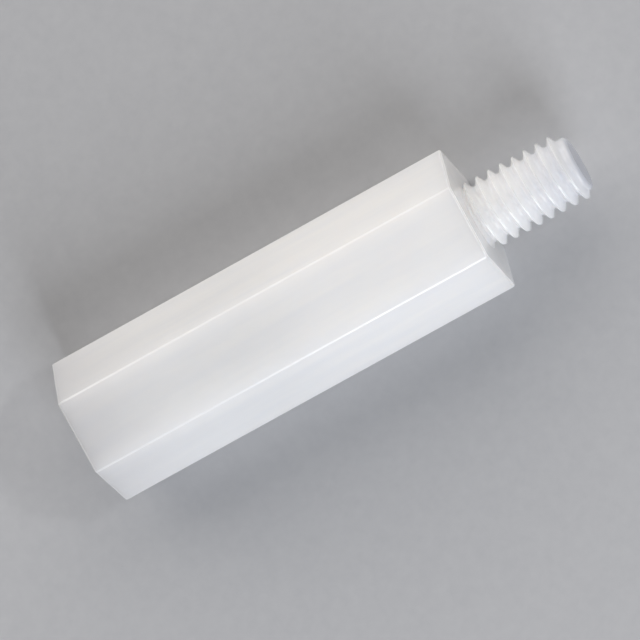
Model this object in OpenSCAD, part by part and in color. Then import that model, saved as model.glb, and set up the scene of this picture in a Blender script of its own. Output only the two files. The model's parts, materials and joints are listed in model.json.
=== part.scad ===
// Male-female hex standoff, moulded in nylon as one piece.
// It lies on one flat of the hexagon, with its threaded stud along +X.
// The origin is on the thread axis, in the plane of the shoulder that the stud stands on.
// The helical thread form is finer than this model: the stud is drawn at the diameter over
// its crests and the hole at the diameter inside its crests.

/* [Hex body] */
// Width across the flats of the hexagon
hex_af = 4.5; // [3.8:0.1:8]
// Length of the hexagonal body, from its end face to the shoulder
body_len = 15; // [9:0.5:40]
// Radius along the outside edges and round both ends
edge_r = 0.09; // [0.04:0.01:0.2]

/* [Thread] */
// Nominal diameter that the stud and the hole share
thread_d = 2.5; // [2:0.1:3.2]
// Pitch of the thread
thread_pitch = 0.45; // [0.35:0.05:0.6]
// How far the crests of the moulded stud stay under the nominal diameter
stud_undersize = 0.07; // [0:0.01:0.15]

/* [Stud] */
// Length of the stud, from the shoulder to its tip
stud_len = 3.85; // [2:0.05:12]
// Length of the plain tip, past the slope that ends the thread
tip_len = 0.16; // [0.16:0.01:1]
// Radius round the end of the tip
tip_r = 0.15; // [0.05:0.01:0.15]

/* [Hole] */
// Depth of the hole's straight wall below the end face
hole_depth = 8; // [2:0.5:14]
// How much wider than the nominal diameter the mouth opens
mouth_extra = 0.25; // [0.05:0.05:0.6]
// Angle of the cone at the bottom of the hole
bottom_angle = 120; // [90:5:150]

/* [Hidden] */
$fn = 96;
// Facets round the small edge radius, a multiple of 12 so that the flats come out exact
round_fn = 36;

// A thread's depth as a share of its pitch
depth_share = 0.54;
// How deep the stud is rooted in the body
stud_root = 0.5;

thread_depth = depth_share * thread_pitch;
stud_r = (thread_d - stud_undersize) / 2;
root_r = stud_r - thread_depth;
thread_len = stud_len - tip_len - thread_depth;
hole_r = (thread_d - thread_pitch) / 2;
mouth_r = (thread_d + mouth_extra) / 2;
mouth_depth = mouth_r - hole_r;
bottom_depth = hole_r / tan(bottom_angle / 2);

// The hexagon that is left when edge_r comes off every side. Its side is also its corner radius.
core_af = hex_af - 2 * edge_r;
core_side = core_af / sqrt(3);
CORNERS = [30:60:330];

// A round-ended post that runs along one corner of the hexagon
module corner_post() {
    for (z = [edge_r, body_len - edge_r]) {
        translate([0, 0, z]) sphere(r = edge_r, $fn = round_fn);
    }
    translate([0, 0, edge_r]) cylinder(r = edge_r, h = body_len - 2 * edge_r, $fn = round_fn);
}

// A hexagonal prism, rounded by edge_r along its sides and round both flat ends
module hex_body() {
    hull() {
        for (turn = CORNERS) {
            rotate(turn) translate([core_side, 0, 0]) corner_post();
        }
        rotate(30) cylinder(r = core_side, h = body_len, $fn = 6);
    }
}

// The blind hole, opening downwards from the end face at z = 0
module threaded_hole() {
    clear = 0.1;
    translate([0, 0, -clear]) cylinder(r = hole_r, h = hole_depth + clear);
    translate([0, 0, -clear])
        cylinder(r1 = mouth_r + clear, r2 = hole_r, h = mouth_depth + clear);
    translate([0, 0, hole_depth]) cylinder(r1 = hole_r, r2 = 0, h = bottom_depth);
}

// The stud, turned about its axis, with the shoulder at z = 0
module stud() {
    rotate_extrude() {
        polygon([
            [0, -stud_root],
            [stud_r, -stud_root],
            [stud_r, thread_len],
            [root_r, thread_len + thread_depth],
            [root_r, stud_len - tip_r],
            [root_r - tip_r, stud_len - tip_r],
            [root_r - tip_r, stud_len],
            [0, stud_len]
        ]);
        translate([root_r - tip_r, stud_len - tip_r]) intersection() {
            circle(r = tip_r);
            square(tip_r);
        }
    }
}

module hex_standoff() {
    color("whitesmoke") rotate([0, 90, 0]) {
        difference() {
            translate([0, 0, -body_len]) hex_body();
            translate([0, 0, -body_len]) threaded_hole();
        }
        stud();
    }
}

hex_standoff();
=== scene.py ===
"""A male-female hex standoff, moulded in natural nylon, lying on a pale table.

The part is one moulding: a hexagonal body with a threaded stud on one end and a blind threaded
hole in the other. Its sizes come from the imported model. It is modelled in millimetres, along Z,
and is then laid along X and brought to metres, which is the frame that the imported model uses.
"""

from __future__ import annotations

import json
import logging
import math
from contextlib import contextmanager
from dataclasses import dataclass, field
from enum import Enum
from typing import Iterator

import bpy
from mathutils import Matrix, Quaternion, Vector


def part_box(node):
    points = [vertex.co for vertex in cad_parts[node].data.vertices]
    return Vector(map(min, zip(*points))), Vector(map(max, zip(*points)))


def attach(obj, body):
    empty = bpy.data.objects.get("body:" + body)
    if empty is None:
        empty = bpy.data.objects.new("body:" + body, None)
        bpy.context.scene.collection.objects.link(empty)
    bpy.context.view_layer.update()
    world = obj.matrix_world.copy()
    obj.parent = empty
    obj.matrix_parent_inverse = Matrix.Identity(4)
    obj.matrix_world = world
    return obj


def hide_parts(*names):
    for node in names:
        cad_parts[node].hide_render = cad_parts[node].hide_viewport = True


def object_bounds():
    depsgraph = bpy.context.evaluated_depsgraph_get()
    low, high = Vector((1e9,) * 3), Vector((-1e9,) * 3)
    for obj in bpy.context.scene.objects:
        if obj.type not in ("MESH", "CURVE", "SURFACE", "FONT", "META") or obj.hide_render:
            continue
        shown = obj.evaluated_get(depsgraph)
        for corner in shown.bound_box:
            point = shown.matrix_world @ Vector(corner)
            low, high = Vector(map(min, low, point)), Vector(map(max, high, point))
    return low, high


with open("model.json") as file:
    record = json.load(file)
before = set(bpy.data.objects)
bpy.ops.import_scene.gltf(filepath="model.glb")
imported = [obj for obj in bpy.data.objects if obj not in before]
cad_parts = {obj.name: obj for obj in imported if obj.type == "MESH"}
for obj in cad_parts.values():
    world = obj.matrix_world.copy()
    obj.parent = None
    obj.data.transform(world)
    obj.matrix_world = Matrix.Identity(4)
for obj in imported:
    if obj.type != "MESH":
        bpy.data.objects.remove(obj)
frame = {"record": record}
CAD_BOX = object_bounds()

LOG = logging.getLogger("hex_standoff")
NODE = "hex_standoff"
MM = 0.001
# The attribute that holds the painted highlight on the body's rounded edges.
EDGE = "rounded_edge"

# A metric thread's flanks stand at this angle to the plane across the axis.
FLANK = math.radians(30)
TURN = 2 * math.pi
HEX_SIDES = 6
ROUND_STEPS = 96


class Cut(Enum):
    """How one solid is combined with another."""

    ADD = "UNION"
    TAKE_AWAY = "DIFFERENCE"


class Side(Enum):
    """Which side of the standoff a lamp stands on, as a direction across its axis."""

    WINDOW = -1
    ROOM = 1


# --- Working on meshes -----------------------------------------------------------------------


def alone(obj: bpy.types.Object) -> None:
    """Select one object and nothing else, and make it the active one.

    Args:
        obj: The object that the next operators are to work on.
    """
    bpy.ops.object.select_all(action="DESELECT")
    obj.select_set(True)
    bpy.context.view_layer.objects.active = obj


@contextmanager
def editing(obj: bpy.types.Object, mode: str = "VERT") -> Iterator[None]:
    """Hold an object in edit mode for the length of a with block.

    Args:
        obj: The mesh object to edit.
        mode: What the selection is made of: VERT, EDGE or FACE.
    """
    alone(obj)
    bpy.ops.object.mode_set(mode="EDIT")
    bpy.ops.mesh.select_mode(type=mode)
    yield
    bpy.ops.object.mode_set(mode="OBJECT")


def apply_last_modifier(obj: bpy.types.Object) -> None:
    """Apply the newest modifier of an object, which has to be the active one."""
    bpy.ops.object.modifier_apply(modifier=obj.modifiers[-1].name)


def combine(target: bpy.types.Object, other: bpy.types.Object, how: Cut) -> None:
    """Combine two closed solids and use the second one up.

    Args:
        target: The solid that is kept and changed.
        other: The solid that is added or taken away, and then removed.
        how: Whether the other solid is added or taken away.
    """
    alone(target)
    bpy.ops.object.modifier_add(type="BOOLEAN")
    joint = target.modifiers[-1]
    joint.operation = how.value
    joint.solver = "EXACT"
    joint.object = other
    apply_last_modifier(target)
    alone(other)
    bpy.ops.object.delete()


# --- The thread ------------------------------------------------------------------------------


@dataclass(frozen=True)
class ThreadForm:
    """The section of a single-start right-hand thread, with flat ridges and round grooves.

    Sizes are in millimetres. The rounding in the groove follows from the others, because both
    roundings have to run smoothly into flanks that stand at 30 degrees.

    Attributes:
        pitch: The height of one turn.
        ridge_r: The radius over the ridges.
        groove_r: The radius in the bottom of the grooves.
        ridge_flat: The width of the flat on top of the ridge.
        ridge_round: The radius on each side of that flat.
    """

    pitch: float
    ridge_r: float
    groove_r: float
    ridge_flat: float = 0.045
    ridge_round: float = 0.012

    @property
    def groove_round(self) -> float:
        """The radius in the bottom of the groove."""
        sharp_depth = (self.pitch - self.ridge_flat) / 2 / math.tan(FLANK)
        return sharp_depth - (self.ridge_r - self.groove_r) - self.ridge_round

    @property
    def flank_length(self) -> float:
        """The straight stretch of a flank between the two roundings."""
        round_part = (self.ridge_round + self.groove_round) * math.cos(FLANK)
        return ((self.pitch - self.ridge_flat) / 2 - round_part) / math.sin(FLANK)


@dataclass
class ThreadedRod:
    """A rod along Z, open at its top, with a thread that fades out just below it.

    Attributes:
        name: The name of the rod's object.
        form: The section of its thread.
        bottom: The height of its closed bottom, in millimetres like the other heights.
        rim: The height of its open top.
        ridge_at_y: A height at which the ridge passes over +Y.
        fade_start: How high up the ridge is still whole.
        fade_turns: How many turns it takes to sink into the plain cylinder.
        steps: How many facets go round the rod.
        arc_steps: How many straight pieces make each rounding of the section.
        spare_turns: How many turns the sweep has over the rod's length, for both ends.
        weld_share: How far apart two points that are merged may lie, as a share of the pitch.
    """

    name: str
    form: ThreadForm
    bottom: float
    rim: float
    ridge_at_y: float
    fade_start: float
    fade_turns: float = 0.25
    steps: int = ROUND_STEPS
    arc_steps: int = 3
    spare_turns: int = 3
    weld_share: float = 0.002

    def build(self) -> bpy.types.Object:
        """Model the rod up to its rim, open at the top with the rim selected.

        Returns:
            The rod's object, closed by a flat cap at the bottom.
        """
        rod = self._section()
        self._sweep(rod)
        self._fade(rod)
        self._trim(rod)
        return rod

    def _turns(self) -> int:
        """The turns that reach past both ends."""
        return math.ceil((self.rim - self.bottom) / self.form.pitch) + self.spare_turns

    def _first_ridge(self) -> float:
        """The height of the ridge where the sweep starts, over +Y and below the bottom."""
        turns_below = math.ceil((self.ridge_at_y - self.bottom) / self.form.pitch) + 1
        return self.ridge_at_y - turns_below * self.form.pitch

    def _section(self) -> bpy.types.Object:
        """Draw one pitch of the section as a chain of edges in the YZ plane.

        Returns:
            The chain's object: half a groove, a flank, the ridge, a flank and half a groove.
        """
        form = self.form
        middle = self._first_ridge()
        low = middle - form.pitch / 2
        high = middle + form.pitch / 2
        groove_centre = form.groove_r + form.groove_round
        ridge_centre = form.ridge_r - form.ridge_round
        bend = math.pi / 2 - FLANK
        rise = form.flank_length * math.sin(FLANK)
        reach = form.flank_length * math.cos(FLANK)
        half_flat = form.ridge_flat / 2

        bpy.ops.mesh.primitive_plane_add(size=1, location=(0, form.groove_r, low))
        section = bpy.context.object
        section.name = self.name
        with editing(section):
            bpy.ops.mesh.select_all(action="SELECT")
            bpy.ops.mesh.merge(type="CENTER")
            self._arc(self.arc_steps, bend, (0, groove_centre, low))
            self._straight(reach, rise)
            self._arc(self.arc_steps, -bend, (0, ridge_centre, middle - half_flat))
            self._straight(0, form.ridge_flat)
            self._arc(self.arc_steps, -bend, (0, ridge_centre, middle + half_flat))
            self._straight(-reach, rise)
            self._arc(self.arc_steps, bend, (0, groove_centre, high))
        bpy.ops.object.transform_apply(location=True, rotation=True, scale=True)
        return section

    @staticmethod
    def _straight(outward: float, upward: float) -> None:
        """Carry the selected vertex along a straight line, leaving an edge behind it.

        Args:
            outward: How far it goes along Y.
            upward: How far it goes along Z.
        """
        bpy.ops.mesh.extrude_vertices_move(TRANSFORM_OT_translate={"value": (0, outward, upward)})

    @staticmethod
    def _arc(steps: int, angle: float, centre: tuple[float, float, float]) -> None:
        """Carry the selected vertex round an arc in the YZ plane, leaving a chain behind it.

        Args:
            steps: How many straight pieces make the arc.
            angle: How far it turns about X, in radians.
            centre: The arc's centre.
        """
        bpy.ops.mesh.spin(steps=steps, angle=angle, center=centre, axis=(1, 0, 0))

    def _sweep(self, rod: bpy.types.Object) -> None:
        """Wind the section into a right-hand helix and join each turn to the next.

        Args:
            rod: The object that holds the section.
        """
        alone(rod)
        bpy.ops.object.modifier_add(type="SCREW")
        helix = rod.modifiers[-1]
        helix.axis = "Z"
        helix.angle = TURN
        helix.screw_offset = self.form.pitch
        helix.iterations = self._turns()
        helix.steps = self.steps
        helix.render_steps = self.steps
        apply_last_modifier(rod)
        with editing(rod):
            bpy.ops.mesh.select_all(action="SELECT")
            bpy.ops.mesh.remove_doubles(threshold=self.form.pitch * self.weld_share)

    def _fade(self, rod: bpy.types.Object) -> None:
        """Press the thread down to the groove's radius past the height fade_start.

        The weight of each vertex is how far along the fade its own turn of ridge is, eased at both
        ends of the fade.

        Args:
            rod: The rod with its full thread.
        """
        pitch = self.form.pitch
        group = rod.vertex_groups.new(name="fade")
        for vertex in rod.data.vertices:
            x, y, z = vertex.co
            about = math.atan2(-x, y) / TURN
            turn = about + round((z - self.ridge_at_y) / pitch - about)
            ridge_height = self.ridge_at_y + turn * pitch
            share = (ridge_height - self.fade_start) / pitch / self.fade_turns
            share = min(max(share, 0.0), 1.0)
            eased = share * share * (3 - 2 * share)
            group.add([vertex.index], eased, "REPLACE")
        alone(rod)
        bpy.ops.object.modifier_add(type="CAST")
        press = rod.modifiers[-1]
        press.cast_type = "CYLINDER"
        press.factor = 1.0
        press.use_z = False
        press.use_radius_as_size = False
        press.radius = 0.0
        press.size = self.form.groove_r
        press.vertex_group = group.name
        apply_last_modifier(rod)
        rod.vertex_groups.clear()

    def _trim(self, rod: bpy.types.Object) -> None:
        """Cap the rod at its bottom and cut it open at its rim, which stays selected.

        Args:
            rod: The rod, which is longer than it should be at both ends.
        """
        with editing(rod, "EDGE"):
            bpy.ops.mesh.select_all(action="SELECT")
            bpy.ops.mesh.bisect(
                plane_co=(0, 0, self.bottom), plane_no=(0, 0, 1), use_fill=True, clear_inner=True
            )
            bpy.ops.mesh.select_all(action="SELECT")
            bpy.ops.mesh.bisect(plane_co=(0, 0, self.rim), plane_no=(0, 0, 1), clear_outer=True)


def close_end(rod: bpy.types.Object, radius: float, rings: list[tuple[float, float]]) -> None:
    """Carry the open rim of a rod through a list of rings, fill the last one and face outwards.

    Args:
        rod: The rod, whose open rim is selected.
        radius: The radius of that rim.
        rings: The radius of each further ring, and how far it lies above the one before.
    """
    with editing(rod, "EDGE"):
        for ring_r, height_step in rings:
            bpy.ops.mesh.extrude_edges_move()
            scale = ring_r / radius
            bpy.ops.transform.resize(value=(scale, scale, 1), center_override=(0, 0, 0))
            bpy.ops.transform.translate(value=(0, 0, height_step))
            radius = ring_r
        bpy.ops.mesh.edge_face_add()
        bpy.ops.mesh.select_all(action="SELECT")
        bpy.ops.mesh.normals_make_consistent(inside=False)


# --- The sub-assemblies of the moulding ------------------------------------------------------


@dataclass
class HexBody:
    """The hexagonal prism, from z = -length to the shoulder at z = 0, in millimetres.

    Attributes:
        across_flats: The width from one flat to the opposite one.
        length: The length from the end face to the shoulder.
        edge_r: The radius on every edge.
        segments: How many facets make each rounding.
    """

    across_flats: float
    length: float
    edge_r: float = 0.09
    segments: int = 5

    def build(self) -> bpy.types.Object:
        """Model the prism and round all of its edges.

        Returns:
            The prism's object, with two of its flats square to X.
        """
        bpy.ops.mesh.primitive_cylinder_add(
            vertices=HEX_SIDES,
            radius=self.across_flats / math.sqrt(3),
            depth=self.length,
            location=(0, 0, -self.length / 2),
        )
        body = bpy.context.object
        body.name = "hex_body"
        bpy.ops.object.transform_apply(location=True, rotation=True, scale=True)
        self._weigh(body, upright=True, weight=math.tan(math.radians(30)))
        self._weigh(body, upright=False, weight=1.0)
        self._round(body)
        return body

    @staticmethod
    def _weigh(body: bpy.types.Object, upright: bool, weight: float) -> None:
        """Give the long edges or the end edges their share of the bevel's width.

        Args:
            body: The prism.
            upright: True for the long edges, False for the edges round both ends.
            weight: The share, which sets the same radius on corners of unlike angle.
        """
        with editing(body, "EDGE"):
            bpy.ops.mesh.select_all(action="DESELECT")
        points = body.data.vertices
        for edge in body.data.edges:
            start, end = (points[i].co for i in edge.vertices)
            edge.select = (abs(start.z - end.z) > abs(start.xy.length)) == upright
        with editing(body, "EDGE"):
            bpy.ops.transform.edge_bevelweight(value=weight)

    def _round(self, body: bpy.types.Object) -> None:
        """Turn the weighed edges into arcs.

        Args:
            body: The prism, with its edges weighed.
        """
        alone(body)
        bpy.ops.object.modifier_add(type="BEVEL")
        rounding = body.modifiers[-1]
        rounding.limit_method = "WEIGHT"
        rounding.width = self.edge_r
        rounding.segments = self.segments
        apply_last_modifier(body)


@dataclass
class Stud:
    """The threaded stud, standing on the shoulder at z = 0, in millimetres.

    Attributes:
        form: The section of its thread.
        length: The length from the shoulder to the tip.
        last_full_ridge: The height up to which the ridge is whole.
        ridge_at_y: A height at which the ridge passes over +Y.
        tip_r: The radius round the edge of the tip.
        tip_steps: How many facets make that rounding.
        root: How far the stud reaches into the body.
        fillet_r: The radius of the fillet at its root.
        fillet_arc: Where the fillet's arc starts and ends, in degrees. It is short of a whole
            quarter, so that both ends cross the surfaces that they meet.
        fillet_steps: How many facets make the fillet.
        fillet_root_share: How far the fillet reaches into the body, as a share of root.
        fillet_top_share: The radius of its top, inside the stud, as a share of the groove's.
    """

    form: ThreadForm
    length: float
    last_full_ridge: float
    ridge_at_y: float
    tip_r: float = 0.15
    tip_steps: int = 6
    root: float = 0.3
    fillet_r: float = 0.22
    fillet_arc: tuple[float, float] = (10, 84)
    fillet_steps: int = 7
    fillet_root_share: float = 0.8
    fillet_top_share: float = 0.95

    def build(self) -> bpy.types.Object:
        """Model the stud with its plain tip and the fillet at its root.

        Returns:
            A closed solid that reaches a little way into the body.
        """
        rim = self.length - self.tip_r
        stud = ThreadedRod(
            "stud", self.form, -self.root, rim, self.ridge_at_y, self.last_full_ridge
        ).build()
        close_end(stud, self.form.groove_r, self._tip_rings())
        combine(stud, self._root_fillet(), Cut.ADD)
        return stud

    def _root_fillet(self) -> bpy.types.Object:
        """Model the fillet that runs from the shoulder up to the bottom of the thread.

        Returns:
            A closed solid that reaches into the body and ends inside the stud.
        """
        start, end = (math.radians(degrees) for degrees in self.fillet_arc)
        step = (end - start) / self.fillet_steps
        angles = [start + step * i for i in range(self.fillet_steps + 1)]
        profile = [
            (
                self.form.groove_r + self.fillet_r * (1 - math.sin(angle)),
                self.fillet_r * (1 - math.cos(angle)),
            )
            for angle in angles
        ]
        profile.append((self.form.groove_r * self.fillet_top_share, self.fillet_r))
        widest = profile[0][0]
        bottom = -self.root * self.fillet_root_share
        bpy.ops.mesh.primitive_circle_add(
            vertices=ROUND_STEPS, radius=widest, fill_type="NGON", location=(0, 0, bottom)
        )
        fillet = bpy.context.object
        bpy.ops.object.transform_apply(location=True, rotation=True, scale=True)
        heights = [bottom, *(height for _, height in profile)]
        rises = [high - low for low, high in zip(heights, heights[1:])]
        close_end(fillet, widest, [(ring_r, rise) for (ring_r, _), rise in zip(profile, rises)])
        return fillet

    def _tip_rings(self) -> list[tuple[float, float]]:
        """Work out the rings that round the edge of the tip.

        Returns:
            The radius of each ring, and how far it lies above the one before.
        """
        rings = []
        height = 0.0
        for step in range(1, self.tip_steps + 1):
            angle = math.pi / 2 * step / self.tip_steps
            new_height = self.tip_r * math.sin(angle)
            radius = self.form.groove_r - self.tip_r * (1 - math.cos(angle))
            rings.append((radius, new_height - height))
            height = new_height
        return rings


@dataclass
class ThreadedHole:
    """The blind hole that opens in the end face at z = -body_length, in millimetres.

    Attributes:
        form: The section of the tap that would cut its thread.
        body_length: The length of the hexagonal body.
        depth: How deep its straight wall goes below the end face.
        mouth_r: The radius of its mouth, in the plane of the end face.
        bottom_angle: The angle of the cone at its bottom.
        plain_length: The length without a thread at the bottom of the straight wall.
        cone_tip_share: The radius at the cone's tip, as a share of the hole's.
        proud: How far the shapes that cut it stand out of the end face.
    """

    form: ThreadForm
    body_length: float
    depth: float
    mouth_r: float
    bottom_angle: float = math.radians(120)
    plain_length: float = 0.9
    cone_tip_share: float = 0.02
    proud: float = 0.4

    def cut_into(self, body: bpy.types.Object) -> None:
        """Take the hole out of the body.

        Args:
            body: The solid that the hole is cut into.
        """
        combine(body, self._tap(), Cut.TAKE_AWAY)
        combine(body, self._mouth(), Cut.TAKE_AWAY)

    def _tap(self) -> bpy.types.Object:
        """Model the shape of the threaded hole down to its conical bottom.

        Returns:
            A closed solid that stands out of the end face.
        """
        face = -self.body_length
        bottom = face + self.depth
        tap = ThreadedRod(
            "tap", self.form, face - self.proud, bottom, face, bottom - self.plain_length
        ).build()
        hole_r = self.form.groove_r
        cone_height = hole_r / math.tan(self.bottom_angle / 2)
        close_end(tap, hole_r, [(hole_r * self.cone_tip_share, cone_height)])
        return tap

    def _mouth(self) -> bpy.types.Object:
        """Model the shape of the 45 degree countersink at the hole's mouth.

        Returns:
            A cone as high as its radius, which stands out of the end face.
        """
        size = self.mouth_r + self.proud
        base = -self.body_length - self.proud
        bpy.ops.mesh.primitive_cone_add(
            vertices=ROUND_STEPS,
            radius1=size,
            radius2=0,
            depth=size,
            location=(0, 0, base + size / 2),
        )
        mouth = bpy.context.object
        bpy.ops.object.transform_apply(location=True, rotation=True, scale=True)
        return mouth


# --- Finishes --------------------------------------------------------------------------------


def linear(hex_colour: str) -> tuple[float, float, float, float]:
    """Turn an sRGB hex colour into linear light.

    Args:
        hex_colour: Six hex digits after a hash sign.

    Returns:
        Red, green, blue and an alpha of 1.
    """
    parts = [int(hex_colour[i : i + 2], 16) / 255 for i in (1, 3, 5)]
    light = [c / 12.92 if c <= 0.04045 else ((c + 0.055) / 1.055) ** 2.4 for c in parts]
    return (light[0], light[1], light[2], 1.0)


def add_node(
    tree: bpy.types.NodeTree, kind: str, settings: dict | None = None, links: dict | None = None
) -> bpy.types.Node:
    """Add a node with its settings and its incoming links.

    Args:
        tree: The node tree to add it to.
        kind: The node's type name.
        settings: Values by name, of the node's own properties or of its input sockets.
        links: Output sockets by the name of the input socket that each one feeds.

    Returns:
        The new node.
    """
    node = tree.nodes.new(kind)
    for name, value in (settings or {}).items():
        if name in node.inputs:
            node.inputs[name].default_value = value
        else:
            setattr(node, name, value)
    for name, source in (links or {}).items():
        tree.links.new(source, node.inputs[name])
    return node


def blend(
    tree: bpy.types.NodeTree,
    share: bpy.types.NodeSocket,
    base: bpy.types.NodeSocket | tuple[float, float, float, float],
    top: tuple[float, float, float, float],
) -> bpy.types.NodeSocket:
    """Mix one colour into another.

    Args:
        tree: The node tree to add the mixing node to.
        share: How much of the top colour there is at each point, from 0 to 1.
        base: The colour underneath, fixed or from another node.
        top: The colour that is mixed in.

    Returns:
        The mixed colour.
    """
    mix = add_node(tree, "ShaderNodeMix", {"data_type": "RGBA"})
    # The node has inputs of the same names for every kind of value. These are the colour ones.
    share_in, base_in, top_in = (mix.inputs[i] for i in (0, 6, 7))
    tree.links.new(share, share_in)
    top_in.default_value = top
    if isinstance(base, bpy.types.NodeSocket):
        tree.links.new(base, base_in)
    else:
        base_in.default_value = base
    return mix.outputs[2]


@dataclass(frozen=True)
class MouldedNylon:
    """Natural nylon 6/6, injection moulded against a smooth steel surface.

    The eye sees a milky white that light enters a couple of millimetres before it comes back, a
    soft gloss and faint flow streaks along the moulding. A painted highlight whitens the base
    colour on the rounded edges, and painted shade greys it towards the bore's end, towards the
    stud's tip and most of all on the tip's end face.

    The steel leaves a finer grain than grain_mm says. It is drawn as coarse as it needs to be to
    show. The pairs ending in _mm are places along X between which the tone changes.
    """

    warm_streak: str = "#F4F3F0"
    cool_streak: str = "#E5E7EB"
    # Painted highlight: the white that the rounded edges are painted.
    painted_highlight_white: str = "#FFFFFF"
    # Painted shade: the grey towards the bore's end.
    painted_bore_end_shade: str = "#C2C2C5"
    # Painted shade: the grey towards the stud's tip.
    painted_tip_shade: str = "#D9DDE6"
    # Painted shade: the darkest grey, on the tip's end face.
    painted_tip_face_shade: str = "#A9AEBA"
    ior: float = 1.53
    roughness: float = 0.135
    light_depth_mm: float = 2.4
    depth_by_colour: tuple[float, float, float] = (1.0, 0.95, 0.9)
    streak_length_mm: float = 5.0
    streak_width_mm: float = 0.5
    streak_depth_mm: float = 0.006
    streak_relief: float = 0.5
    grain_mm: float = 0.06
    grain_depth_mm: float = 0.001
    grain_relief: float = 0.25
    noise_detail: float = 3.0
    # Where along X each painted shade grows, in millimetres.
    bore_end_shade_mm: tuple[float, float] = (-10.5, -18.0)
    tip_shade_mm: tuple[float, float] = (0.2, 5.5)
    end_face_shade_mm: tuple[float, float] = (3.68, 3.92)

    def make(self) -> bpy.types.Material:
        """Build the material.

        Returns:
            A material whose patterns are fixed to the moulding.
        """
        material = bpy.data.materials.new("moulded_nylon")
        material.use_nodes = True
        tree = material.node_tree
        tree.nodes.clear()
        place = add_node(tree, "ShaderNodeTexCoord").outputs["Object"]
        along = add_node(tree, "ShaderNodeSeparateXYZ", links={"Vector": place}).outputs["X"]
        # How much painted highlight each point on the rounded edges gets.
        edge = add_node(tree, "ShaderNodeAttribute", {"attribute_name": EDGE}).outputs["Fac"]

        streaks = self._streaks(tree, place)
        tone = blend(tree, streaks, linear(self.warm_streak), linear(self.cool_streak))
        # Painted shade: grey blended in towards the bore's end.
        bore_end_shade = self._painted_shade_share(tree, along, self.bore_end_shade_mm)
        tone = blend(tree, bore_end_shade, tone, linear(self.painted_bore_end_shade))
        # Painted shade: grey blended in towards the stud's tip.
        tip = self._painted_shade_share(tree, along, self.tip_shade_mm)
        tone = blend(tree, tip, tone, linear(self.painted_tip_shade))
        # Painted shade: the greyest tone, blended in on the tip's end face.
        painted_tip_face_shade = self._painted_shade_share(tree, along, self.end_face_shade_mm)
        tone = blend(tree, painted_tip_face_shade, tone, linear(self.painted_tip_face_shade))
        # Painted highlight: white blended in on the rounded edges.
        tone = blend(tree, edge, tone, linear(self.painted_highlight_white))
        shader = add_node(
            tree,
            "ShaderNodeBsdfPrincipled",
            {
                "IOR": self.ior,
                "Roughness": self.roughness,
                "Subsurface Weight": 1.0,
                "Subsurface Radius": self.depth_by_colour,
                "Subsurface Scale": self.light_depth_mm * MM,
            },
            {"Base Color": tone, "Normal": self._relief(tree, place, streaks)},
        )
        add_node(tree, "ShaderNodeOutputMaterial", links={"Surface": shader.outputs["BSDF"]})
        return material

    def _streaks(
        self, tree: bpy.types.NodeTree, place: bpy.types.NodeSocket
    ) -> bpy.types.NodeSocket:
        """Draw noise out along the moulding.

        Args:
            tree: The material's node tree.
            place: The place of each point on the moulding.

        Returns:
            How much of the cool streaks there is, from 0 to 1.
        """
        along = 1 / (self.streak_length_mm * MM)
        across = 1 / (self.streak_width_mm * MM)
        stretched = add_node(
            tree, "ShaderNodeMapping", {"Scale": (along, across, across)}, {"Vector": place}
        )
        noise = add_node(
            tree,
            "ShaderNodeTexNoise",
            {"Scale": 1.0, "Detail": self.noise_detail},
            {"Vector": stretched.outputs["Vector"]},
        )
        return noise.outputs["Fac"]

    @staticmethod
    def _painted_shade_share(
        tree: bpy.types.NodeTree, along: bpy.types.NodeSocket, reach_mm: tuple[float, float]
    ) -> bpy.types.NodeSocket:
        """Rise smoothly from 0 to 1 between two places along X.

        Args:
            tree: The material's node tree.
            along: How far along X each point is, in metres.
            reach_mm: Where the rise starts and where it ends, in millimetres.

        Returns:
            The share of the painted shade.
        """
        start, end = reach_mm
        rise = add_node(
            tree,
            "ShaderNodeMapRange",
            {"interpolation_type": "SMOOTHSTEP", "From Min": start * MM, "From Max": end * MM},
            {"Value": along},
        )
        return rise.outputs["Result"]

    def _relief(
        self,
        tree: bpy.types.NodeTree,
        place: bpy.types.NodeSocket,
        streaks: bpy.types.NodeSocket,
    ) -> bpy.types.NodeSocket:
        """Lay the fine grain of the mould's steel over the shallow flow streaks.

        Args:
            tree: The material's node tree.
            place: The place of each point on the moulding.
            streaks: The flow streaks, from 0 to 1.

        Returns:
            The surface's normal.
        """
        grain = add_node(
            tree,
            "ShaderNodeTexNoise",
            {"Scale": 1 / (self.grain_mm * MM), "Detail": self.noise_detail},
            {"Vector": place},
        )
        flow = add_node(
            tree,
            "ShaderNodeBump",
            {"Strength": self.streak_relief, "Distance": self.streak_depth_mm * MM},
            {"Height": streaks},
        )
        fine = add_node(
            tree,
            "ShaderNodeBump",
            {"Strength": self.grain_relief, "Distance": self.grain_depth_mm * MM},
            {"Height": grain.outputs["Fac"], "Normal": flow.outputs["Normal"]},
        )
        return fine.outputs["Normal"]


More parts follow.
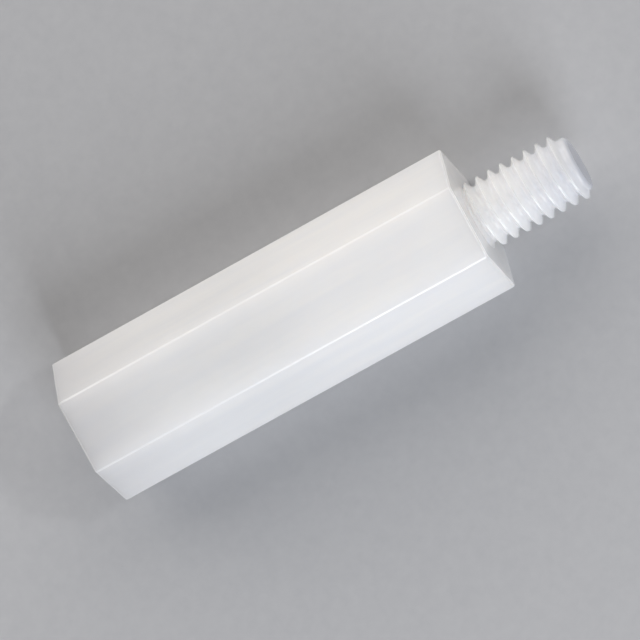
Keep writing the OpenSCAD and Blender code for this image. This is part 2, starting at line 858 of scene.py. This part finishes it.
@dataclass(frozen=True)
class TableCard:
    """Uncoated pale grey card on the table, dull, with the faint mottling of its pulp."""

    light: str = "#BABBBD"
    dark: str = "#B1B2B5"
    roughness: float = 0.85
    pulp_mm: float = 0.35
    pulp_depth_mm: float = 0.01
    pulp_relief: float = 0.3

    def make(self) -> bpy.types.Material:
        """Build the material.

        Returns:
            A plain material with a faint mottling, like card.
        """
        material = bpy.data.materials.new("table_card")
        material.use_nodes = True
        tree = material.node_tree
        shader = tree.nodes["Principled BSDF"]
        shader.inputs["Roughness"].default_value = self.roughness
        place = add_node(tree, "ShaderNodeTexCoord").outputs["Object"]
        pulp = add_node(
            tree,
            "ShaderNodeTexNoise",
            {"Scale": 1 / (self.pulp_mm * MM)},
            {"Vector": place},
        ).outputs["Fac"]
        mottling = blend(tree, pulp, linear(self.dark), linear(self.light))
        relief = add_node(
            tree,
            "ShaderNodeBump",
            {"Strength": self.pulp_relief, "Distance": self.pulp_depth_mm * MM},
            {"Height": pulp},
        )
        tree.links.new(mottling, shader.inputs["Base Color"])
        tree.links.new(relief.outputs["Normal"], shader.inputs["Normal"])
        return material


# --- The standoff ----------------------------------------------------------------------------


@dataclass
class Standoff:
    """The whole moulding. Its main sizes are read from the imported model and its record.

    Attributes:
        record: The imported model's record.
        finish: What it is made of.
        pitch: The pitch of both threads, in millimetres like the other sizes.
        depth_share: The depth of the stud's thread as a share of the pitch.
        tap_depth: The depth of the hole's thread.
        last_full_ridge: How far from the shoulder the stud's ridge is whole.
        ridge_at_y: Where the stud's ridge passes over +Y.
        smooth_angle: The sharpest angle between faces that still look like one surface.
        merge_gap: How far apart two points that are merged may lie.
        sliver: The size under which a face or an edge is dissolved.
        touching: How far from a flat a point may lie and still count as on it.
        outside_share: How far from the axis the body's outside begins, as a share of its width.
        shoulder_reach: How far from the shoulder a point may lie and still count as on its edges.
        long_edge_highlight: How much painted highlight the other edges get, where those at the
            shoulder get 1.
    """

    record: dict
    finish: MouldedNylon = field(default_factory=MouldedNylon)
    pitch: float = 0.45
    depth_share: float = 0.54
    tap_depth: float = 0.245
    last_full_ridge: float = 3.58
    ridge_at_y: float = 0.615
    smooth_angle: float = math.radians(35)
    merge_gap: float = 0.0002
    sliver: float = 0.0001
    touching: float = 0.002
    outside_share: float = 0.4
    shoulder_reach: float = 0.085
    long_edge_highlight: float = 0.35

    def _mount(self, name: str) -> dict:
        """The record's entry for one mount."""
        return next(mount for mount in self.record["mounts"] if mount["name"] == name)

    def _stud_form(self) -> ThreadForm:
        """The section of the stud's thread."""
        crest_r = self._mount("stud")["dims"]["r_mm"]
        return ThreadForm(self.pitch, crest_r, crest_r - self.depth_share * self.pitch)

    def _hole_form(self) -> ThreadForm:
        """The section of the tap that would cut the hole's thread."""
        crest_r = self._mount("threaded_hole")["dims"]["r_mm"]
        return ThreadForm(self.pitch, crest_r + self.tap_depth, crest_r)

    def build(self) -> bpy.types.Object:
        """Model the moulding and dress it.

        Returns:
            The finished piece, in metres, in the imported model's frame.
        """
        low, high = (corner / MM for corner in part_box(NODE))
        body_length = -low.x
        across_flats = high.z - low.z
        part = HexBody(across_flats, body_length).build()
        hole = self._mount("threaded_hole")
        mouth_depth = (hole["pos_m"][0] - low.x * MM) / MM
        ThreadedHole(
            form=self._hole_form(),
            body_length=body_length,
            depth=hole["dims"]["length_mm"] + mouth_depth,
            mouth_r=hole["dims"]["r_mm"] + mouth_depth,
        ).cut_into(part)
        stud = Stud(self._stud_form(), high.x, self.last_full_ridge, self.ridge_at_y)
        combine(part, stud.build(), Cut.ADD)
        self._clean(part)
        self._paint_edge_highlights(part, across_flats, body_length)
        self._lay_down(part)
        part.data.materials.clear()
        part.data.materials.append(self.finish.make())
        return part

    def _clean(self, part: bpy.types.Object) -> None:
        """Merge what the cuts left doubled, and set where the surface is smooth.

        Args:
            part: The moulding, in millimetres.
        """
        with editing(part):
            bpy.ops.mesh.select_all(action="SELECT")
            bpy.ops.mesh.remove_doubles(threshold=self.merge_gap)
            bpy.ops.mesh.dissolve_degenerate(threshold=self.sliver)
            bpy.ops.mesh.normals_make_consistent(inside=False)
        alone(part)
        bpy.ops.object.shade_smooth_by_angle(angle=self.smooth_angle)
        bpy.ops.object.modifier_add(type="WEIGHTED_NORMAL")
        part.modifiers[-1].keep_sharp = True
        apply_last_modifier(part)

    def _paint_edge_highlights(self, part: bpy.types.Object, across_flats: float, length: float) -> None:
        """Store in the attribute EDGE the painted highlight of the body's rounded edges.

        A vertex inside a rounding touches none of the prism's eight faces. The edges round the
        shoulder get the full painted highlight, the other edges a weaker one.

        Args:
            part: The moulding, still standing along Z in millimetres.
            across_flats: The hexagon's width across its flats.
            length: The length of the hexagonal body.
        """
        angles = [TURN * i / HEX_SIDES for i in range(HEX_SIDES)]
        flats = [Vector((math.cos(angle), math.sin(angle), 0)) for angle in angles]
        marks = part.data.attributes.new(EDGE, "FLOAT", "POINT")
        for vertex, mark in zip(part.data.vertices, marks.data):
            depths = [across_flats / 2 - vertex.co.dot(flat) for flat in flats]
            depths += [-vertex.co.z, vertex.co.z + length]
            outside = vertex.co.xy.length > across_flats * self.outside_share
            if outside and min(depths) > self.touching:
                at_shoulder = -vertex.co.z < self.shoulder_reach
                mark.value = 1.0 if at_shoulder else self.long_edge_highlight

    @staticmethod
    def _lay_down(part: bpy.types.Object) -> None:
        """Turn the moulding from Z to X and bring it from millimetres to metres.

        Args:
            part: The moulding, standing along Z in millimetres.
        """
        part.name = "standoff_moulding"
        alone(part)
        part.rotation_euler = (0, math.pi / 2, 0)
        part.scale = (MM, MM, MM)
        bpy.ops.object.transform_apply(location=True, rotation=True, scale=True)


# --- The studio ------------------------------------------------------------------------------


@dataclass(frozen=True)
class Softbox:
    """A rectangular area lamp that looks at the standoff, with sizes in millimetres.

    Attributes:
        name: The name of the lamp's object.
        place: Where its middle is.
        length: Its level side, which lies along the standoff for a lamp that stands beside it.
        height: Its other side.
        watts: Its power.
        colour: The colour of its light.
    """

    name: str
    place: tuple[float, float, float]
    length: float
    height: float
    watts: float
    colour: str

    def hang(self, target: Vector) -> bpy.types.Object:
        """Add the lamp.

        Args:
            target: The point that it looks at, in metres.

        Returns:
            The lamp's object.
        """
        bpy.ops.object.light_add(type="AREA", location=Vector(self.place) * MM)
        lamp = bpy.context.object
        lamp.name = self.name
        lamp.data.shape = "RECTANGLE"
        lamp.data.size = self.length * MM
        lamp.data.size_y = self.height * MM
        lamp.data.energy = self.watts
        lamp.data.color = linear(self.colour)[:3]
        lamp.rotation_mode = "QUATERNION"
        lamp.rotation_quaternion = (target - lamp.location).to_track_quat("-Z", "Y")
        return lamp


@dataclass
class Studio:
    """The table, the lamps and the camera, with sizes in millimetres and degrees.

    Attributes:
        table_z: The height of the table's top.
        aim: The point that the lamps and the camera look at.
        distance: How far the camera is from that point.
        lens: The camera's focal length.
        sensor: The width of the camera's sensor.
        clip_m: The nearest and the farthest that the camera sees, in metres.
        lean_to_stud: How far the camera leans from straight above towards the stud.
        lean_to_window: How far it leans towards the window side.
        roll: How far it is turned about its own line of sight.
        card: What covers the table.
        table_size: The length of the table's sides.
        room_colour: The colour of the light that comes from all round.
        room_strength: How strong that light is.
    """

    table_z: float
    aim: tuple[float, float, float] = (-6.29, -0.44, 0.0)
    distance: float = 240.4
    lens: float = 407.3
    sensor: float = 36
    clip_m: tuple[float, float] = (0.01, 10)
    lean_to_stud: float = 9.53
    lean_to_window: float = 0.43
    roll: float = 28.84
    card: TableCard = field(default_factory=TableCard)
    table_size: float = 3000
    room_colour: str = "#D8DADD"
    room_strength: float = 0.13

    def build(self) -> None:
        """Set up the table, the lamps, the room's light and the camera."""
        self._table()
        self._lamps()
        self._room_light()
        self._camera()

    def _table(self) -> None:
        """Lay the card that the standoff lies on."""
        bpy.ops.mesh.primitive_plane_add(
            size=self.table_size * MM, location=(0, 0, self.table_z * MM)
        )
        table = bpy.context.object
        table.name = "table"
        bpy.ops.object.transform_apply(location=True, rotation=True, scale=True)
        table.data.materials.append(self.card.make())

    def _lamps(self) -> None:
        """Hang a softbox on each side and two small ones beyond the stud.

        Of the small ones, the first lights the shoulder and the tip, and the second draws the
        line of light along the shoulder's edge.
        """
        lamps = (
            Softbox(
                name="window_side",
                place=(4, 178 * Side.WINDOW.value, 112),
                length=100,
                height=180,
                watts=0.37,
                colour="#F6F8FD",
            ),
            Softbox(
                name="room_side",
                place=(-4, 275 * Side.ROOM.value, 130),
                length=600,
                height=400,
                watts=1.42,
                colour="#FFFAF5",
            ),
            Softbox(
                name="stud_side",
                place=(170, 95 * Side.WINDOW.value, 140),
                length=80,
                height=80,
                watts=0.045,
                colour="#FFFFFF",
            ),
            Softbox(
                name="edge_glint",
                place=(150, 0, 190),
                length=24,
                height=20,
                watts=0.055,
                colour="#FFFFFF",
            ),
        )
        for lamp in lamps:
            lamp.hang(Vector(self.aim) * MM)

    def _room_light(self) -> None:
        """Fill the shadows with the light of a pale room."""
        world = bpy.data.worlds.new("pale_room")
        bpy.context.scene.world = world
        world.use_nodes = True
        background = world.node_tree.nodes["Background"]
        background.inputs["Color"].default_value = linear(self.room_colour)
        background.inputs["Strength"].default_value = self.room_strength

    def _camera(self) -> None:
        """Add a long lens that looks down on the standoff and leans towards its stud."""
        tilt = math.radians(self.lean_to_stud)
        side = math.radians(self.lean_to_window)
        back = Vector(
            (math.sin(tilt), -math.sin(side) * math.cos(tilt), math.cos(side) * math.cos(tilt))
        )
        aim = Vector(self.aim) * MM
        bpy.ops.object.camera_add(location=aim + back * self.distance * MM)
        camera = bpy.context.object
        camera.name = "camera"
        camera.data.lens = self.lens
        camera.data.sensor_width = self.sensor
        camera.data.clip_start, camera.data.clip_end = self.clip_m
        upright = back.cross(Vector((0, 1, 0)).cross(back)).normalized()
        across = upright.cross(back)
        turned = Matrix((across, upright, back)).transposed().to_quaternion()
        camera.rotation_mode = "QUATERNION"
        camera.rotation_quaternion = Quaternion(back, math.radians(-self.roll)) @ turned
        bpy.context.scene.camera = camera


def main() -> None:
    """Build the standoff and the studio round it, and report each piece."""
    logging.basicConfig(level=logging.INFO, format="%(name)s: %(message)s")
    moulding = Standoff(frame["record"]).build()
    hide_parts(NODE)
    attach(moulding, "root")
    LOG.info("%s has %d faces", moulding.name, len(moulding.data.polygons))

    Studio(table_z=CAD_BOX[0].z / MM).build()
    bpy.context.scene.view_settings.view_transform = "Standard"


if __name__ == "__main__":
    main()
